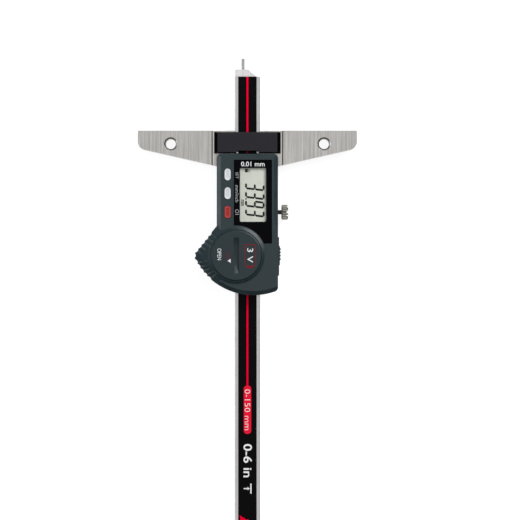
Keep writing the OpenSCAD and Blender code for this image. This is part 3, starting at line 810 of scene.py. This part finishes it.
def slot_end_tool(centre, surface, slot_length):
    """What cuts a small three-cornered facet at the slot's lower end, rising outwards and to the left."""
    half, length, depth, height, inset = 1.15 * MM, 3.6 * MM, 0.72 * MM, 3 * MM, 0.1 * MM
    rise, lean = math.radians(-20), math.radians(14)
    facet = Matrix.Rotation(rise, 4, "X") @ Matrix.Rotation(lean, 4, "Y")
    middle = centre + Vector((0, (length - slot_length) / 2 + inset, surface - depth))
    tool = prism("slot_end", [(-half, -length / 2), (half, -length / 2), (0, length / 2)], 0, height)
    tool.data.transform(Matrix.Translation(middle) @ facet)
    return tool


def make_cover_print(centre, surface):
    """A battery sign with its voltage on the right, and a word with a turning arrow on the left."""
    right, left = centre.x + 6.3 * MM, centre.x - 7.7 * MM
    middle = centre.y
    lettering("cover_volts", "3 V", (right, middle, surface), (6.6 * MM, 2.7 * MM), WHITE_INK,
              "battery_cover")
    outline = battery_outline(right, middle, surface)
    finish_piece(outline, DULL_RED, "battery_cover")
    lettering("cover_open", "OPEN", (left, middle + 0.5 * MM, surface), (5.2 * MM, 1.8 * MM), WHITE_INK,
              "battery_cover")
    make_turning_arrow((centre.x, middle), surface)


def battery_outline(x, y, surface):
    """A printed frame round the voltage, with a pole at its lower end."""
    half_x, half_y, line = 2.6 * MM, 5.0 * MM, 0.35 * MM
    pole_half, pole_height = 1.1 * MM, 0.9 * MM
    top = surface + PRINT_DEPTH
    inner_x, inner_y = half_x - line, half_y - line
    case = box_solid("case", (x - half_x, y - half_y, surface), (x + half_x, y + half_y, top))
    cut(case, box_solid("inside", (x - inner_x, y - inner_y, surface - MM),
                        (x + inner_x, y + inner_y, top + MM)))
    pole = box_solid("pole", (x - pole_half, y - half_y - pole_height, surface),
                     (x + pole_half, y - half_y, top))
    return join("cover_battery", [case, pole])


def make_turning_arrow(centre, surface):
    """A curved stroke round the cover's centre, and its head."""
    radius, line, start, end, tip = 3.9 * MM, 0.5 * MM, 160, 206, math.radians(212)
    head_length, head_half = 1.5 * MM, 0.8 * MM
    along = Vector((-math.sin(tip), math.cos(tip)))
    out = Vector((math.cos(tip), math.sin(tip)))
    at = Vector(centre) + out * radius
    head = [at + along * head_length, at + out * head_half, at - out * head_half]
    printed("cover_arrow", [ring_outline(centre, radius, line, start, end, 12)], surface, DULL_RED,
            "battery_cover")
    printed("cover_arrow_head", [head], surface, WHITE_INK, "battery_cover")


def make_lock_screw():
    """Knurled head with deep round flutes, a thin neck and a driver slot."""
    low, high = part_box("lock_screw")
    centre = Vector((0, (low.y + high.y) / 2, (low.z + high.z) / 2))
    head_start, head_end, start = 15.5 * MM, high.x, low.x
    radius, neck, neck_edge = (high.y - low.y) / 2, 0.98 * MM, 0.1 * MM
    corner, rows, flutes, depth = 0.7 * MM, 6, 14, 0.48 * MM
    slot_depth, slot_half, slot_reach = 0.8 * MM, 0.4 * MM, 5 * MM

    def fluted(r, angle):
        """Only the head's rim is fluted, not the neck and the middle of its ends."""
        if r < radius * 0.9:
            return r
        wave = 0.5 + 0.5 * math.cos(flutes * angle)
        return r - depth * wave ** 2

    rounding = [(math.sin(a), 1 - math.cos(a)) for a in (math.radians(15 * i) for i in range(7))]
    row = (head_end - head_start - 2 * corner) / rows
    profile = [(0, start), (neck - neck_edge, start), (neck, start + neck_edge), (neck, head_start)]
    profile += [(radius - corner + corner * s, head_start + corner * c) for s, c in rounding]
    profile += [(radius, head_start + corner + row * i) for i in range(1, rows)]
    profile += [(radius - corner + corner * s, head_end - corner * c) for s, c in reversed(rounding)]
    profile += [(0, head_end)]
    along_x = Matrix.Rotation(math.pi / 2, 4, "Y")
    screw = lathe("lock_screw_knurled", profile, flutes * 12, centre, along_x, fluted)
    slot = box_solid("driver_slot", (head_end - slot_depth, centre.y - slot_half, centre.z - slot_reach),
                     (head_end + MM, centre.y + slot_half, centre.z + slot_reach))
    cut(screw, slot)
    finish_piece(screw, KNOB_NICKEL, "lock_screw", sharp=50)
    # The neck is painted in the dark material.
    second_material(screw, DARK_STEEL_AND_SHADE, lambda face: face.center.x < head_start + 0.05 * MM)
    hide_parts("lock_screw")


def paint_inner_nodes():
    """CAD nodes that keep their own shape."""
    for node, material in {
        "gib_strip": BRONZE, "wiper_upper": RUBBER_AND_SHADE, "wiper_lower": RUBBER_AND_SHADE, "lcd_panel": LCD_GLASS,
        "lcd_connectors": STRIPED_RUBBER, "circuit_board": BOARD_GREEN, "board_components": CHIP_PLASTIC,
        "dome_switches": BRASS, "sensor_board": BOARD_GREEN, "battery": BATTERY_STEEL,
        "battery_contacts": BRASS, "cover_seal": RUBBER_AND_SHADE, "lock_shoe": BRASS,
    }.items():
        paint(NODES[node], material)


# ---------- studio ----------

def make_floor():
    """A matt table that glows a little, so that it shows white."""
    made, tree, shader = new_material("light_table")
    tone = noise(tree, (0.01, 0.01, 0.01), detail=3.0)
    connect(tree, shade(tree, (0.35, 0.35, 0.35), remap(tree, tone, 0.99, 1.01)), shader, "Base Color")
    shader.inputs["Roughness"].default_value = 0.9
    shader.inputs["Specular IOR Level"].default_value = 0.0
    shader.inputs["Emission Color"].default_value = (1, 1, 1, 1)
    shader.inputs["Emission Strength"].default_value = 0.86
    half, thickness = 12.0, 0.01
    floor = box_solid("floor", (-half, -half, -thickness), (half, half, 0.0))
    paint(floor, made)


def make_world():
    """A studio: a bright ceiling, a pale wall beyond the pin, and darker walls elsewhere."""
    ceiling, dark_wall, pale_wall = 0.95, 0.07, 0.5
    wall_top, ceiling_start = 0.70, 0.95
    world = bpy.data.worlds.new("studio")
    bpy.context.scene.world = world
    world.use_nodes = True
    tree = world.node_tree
    direction = add(tree, "ShaderNodeTexCoord").outputs["Generated"]
    parts = add(tree, "ShaderNodeSeparateXYZ", {"Vector": direction}).outputs
    overhead = add(tree, "ShaderNodeMapRange", {
        "Value": parts["Z"], "From Min": wall_top, "From Max": ceiling_start, "To Min": 0.0, "To Max": 1.0},
        interpolation_type="SMOOTHSTEP").outputs["Result"]
    wall = remap(tree, parts["Y"], dark_wall, pale_wall, 0.0, 1.0)
    level = add(tree, "ShaderNodeMix", {"Factor": overhead, 2: wall, 3: ceiling}).outputs[0]
    background = tree.nodes["Background"]
    tree.links.new(level, background.inputs["Strength"])
    background.inputs["Color"].default_value = (1.0, 1.0, 1.0, 1.0)


def area_light(name, azimuth, elevation, distance, size, radiance, colour):
    """A soft panel, aimed at the tool. Azimuth 0 is towards +x, and 90 towards +y."""
    middle = Vector((0, -0.05, 0))
    across, up = math.radians(azimuth), math.radians(elevation)
    outward = Vector((math.cos(up) * math.cos(across), math.cos(up) * math.sin(across), math.sin(up)))
    lamp = bpy.data.lights.new(name, "AREA")
    lamp.shape = "RECTANGLE"
    lamp.size, lamp.size_y = size
    lamp.energy = math.pi * radiance * size[0] * size[1]
    lamp.color = colour
    made = bpy.data.objects.new(name, lamp)
    bpy.context.scene.collection.objects.link(made)
    made.location = middle + outward * distance
    made.rotation_euler = outward.to_track_quat("Z", "Y").to_euler()
    made.visible_camera = False


def make_lights():
    area_light("key_panel", azimuth=48, elevation=41, distance=0.9, size=(0.56, 0.30),
               radiance=10.2, colour=(0.98, 1.0, 1.015))
    area_light("left_panel", azimuth=180, elevation=15, distance=0.9, size=(0.8, 0.3),
               radiance=3.0, colour=(0.93, 1.0, 1.08))


def make_camera():
    """Looks straight down on the tool's front. view_width is what it sees at the bridge's front face."""
    view_width, distance, front = 237.4 * MM, 1000 * MM, 8 * MM
    centre = Vector((5.75, -59.1)) * MM
    camera = bpy.data.objects.new("camera", bpy.data.cameras.new("camera"))
    bpy.context.scene.collection.objects.link(camera)
    camera.data.sensor_width = 36.0
    camera.data.lens = camera.data.sensor_width * distance / view_width
    camera.location = (centre.x, centre.y, front + distance)
    camera.data.clip_start, camera.data.clip_end = 0.01, 10
    bpy.context.scene.camera = camera


bpy.context.scene.view_settings.view_transform = "Standard"
make_camera()
make_world()
make_lights()
make_floor()
make_bridge()
make_bridge_cover()
make_notch_shade_strips()
make_slider()
make_beam()
make_beam_print()
make_housing()
make_window()
make_digits()
make_panel_print()
make_buttons()
make_battery_cover()
make_lock_screw()
paint_inner_nodes()

bpy.context.view_layer.update()
